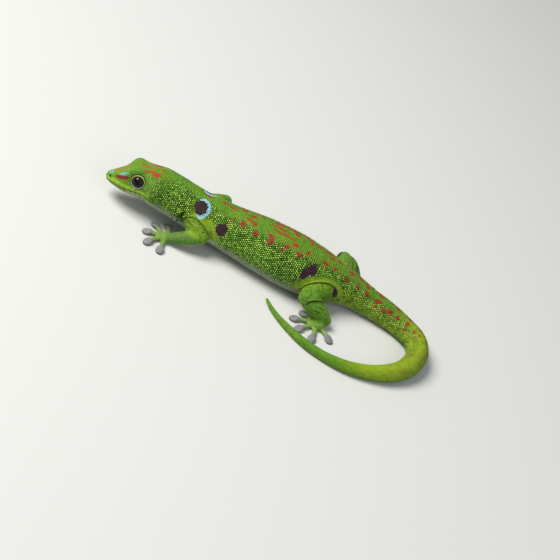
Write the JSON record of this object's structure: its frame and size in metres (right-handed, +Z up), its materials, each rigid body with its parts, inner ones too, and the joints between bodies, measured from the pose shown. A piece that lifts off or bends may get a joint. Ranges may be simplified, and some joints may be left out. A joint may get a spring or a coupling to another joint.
{
  "type": "day gecko model",
  "caption": "Life-size still model of a peacock day gecko at rest, head low, limbs spread and tail curled forward along its left side.",
  "frame": {"origin": "on the floor, at the middle of the small flat under the belly that the animal rests on", "axes": "+X towards the rump and the tail's bend, -Y towards the animal's left side, +Z up; the head is towards -X"},
  "size_m": [0.0701, 0.0291, 0.0097],
  "materials": {
    "skin": "granular green scales with red spots and dark ocelli",
    "toes": "lime shafts with bluish-grey climbing pads",
    "eye": "wet gloss"
  },
  "bodies": {
    "root": {"head": "skin", "eye_left": "eye", "eye_right": "eye", "neck": "skin", "torso": "skin", "tail_root": "skin", "tail_turn_outward": "skin", "tail_turn": "skin", "tail_turn_forward": "skin", "tail_side": "skin", "tail_tip": "skin", "left_upper_arm": "skin", "left_forearm": "skin", "left_hand": "toes", "left_thigh": "skin", "left_shin": "skin", "left_foot": "toes", "right_upper_arm": "skin", "right_forearm": "skin", "right_hand": "toes", "right_thigh": "skin", "right_shin": "skin", "right_foot": "toes"}
  },
  "joints": []
}
